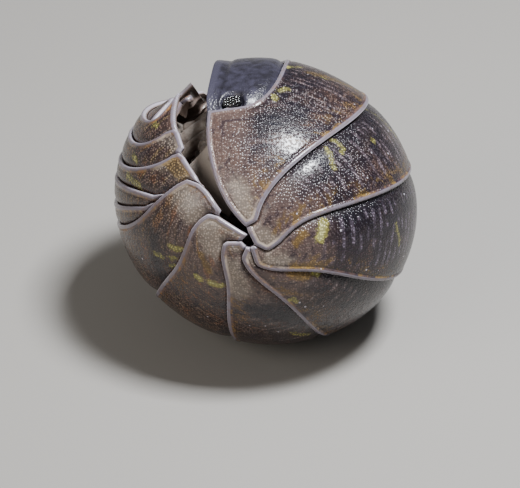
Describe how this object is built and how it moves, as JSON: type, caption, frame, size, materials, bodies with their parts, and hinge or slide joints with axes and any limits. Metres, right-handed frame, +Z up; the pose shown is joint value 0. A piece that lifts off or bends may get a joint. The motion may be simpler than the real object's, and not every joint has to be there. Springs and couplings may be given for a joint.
{
  "type": "rolled-up pill woodlouse",
  "caption": "Life-size still model of a pill woodlouse rolled into a ball, with overlapping back plates, head, eyes, and legs and feelers folded inside.",
  "frame": {"origin": "centre of the underside of the bounding box, on the floor", "axes": "+Z up; -Y towards the viewer, where the left flank faces; +X to the viewer's right, where the third body plate lies"},
  "size_m": [0.0082, 0.008, 0.0076],
  "materials": {
    "shell": "glossy dark brown cuticle with fine grains, yellow marks and pale see-through rims",
    "head_shell": "glossy blue-black cuticle with fine pits",
    "eye": "black, glinting facets",
    "limb": "pale grey-brown limb cuticle",
    "gill": "whitish gill flaps"
  },
  "bodies": {
    "root": {"head": "head_shell", "eye_left": "eye", "eye_right": "eye", "antenna_left": "limb", "antenna_right": "limb", "pereonite_1": "shell", "pereonite_2": "shell", "pereonite_3": "shell", "pereonite_4": "shell", "pereonite_5": "shell", "pereonite_6": "shell", "pereonite_7": "shell", "pleonite_1": "shell", "pleonite_2": "shell", "pleonite_3": "shell", "pleonite_4": "shell", "pleonite_5": "shell", "telson": "shell", "uropod_left": "shell", "uropod_right": "shell", "leg_left_1": "limb", "leg_left_2": "limb", "leg_left_3": "limb", "leg_left_4": "limb", "leg_left_5": "limb", "leg_left_6": "limb", "leg_left_7": "limb", "leg_right_1": "limb", "leg_right_2": "limb", "leg_right_3": "limb", "leg_right_4": "limb", "leg_right_5": "limb", "leg_right_6": "limb", "leg_right_7": "limb", "gills_left": "gill", "gills_right": "gill"}
  },
  "joints": []
}
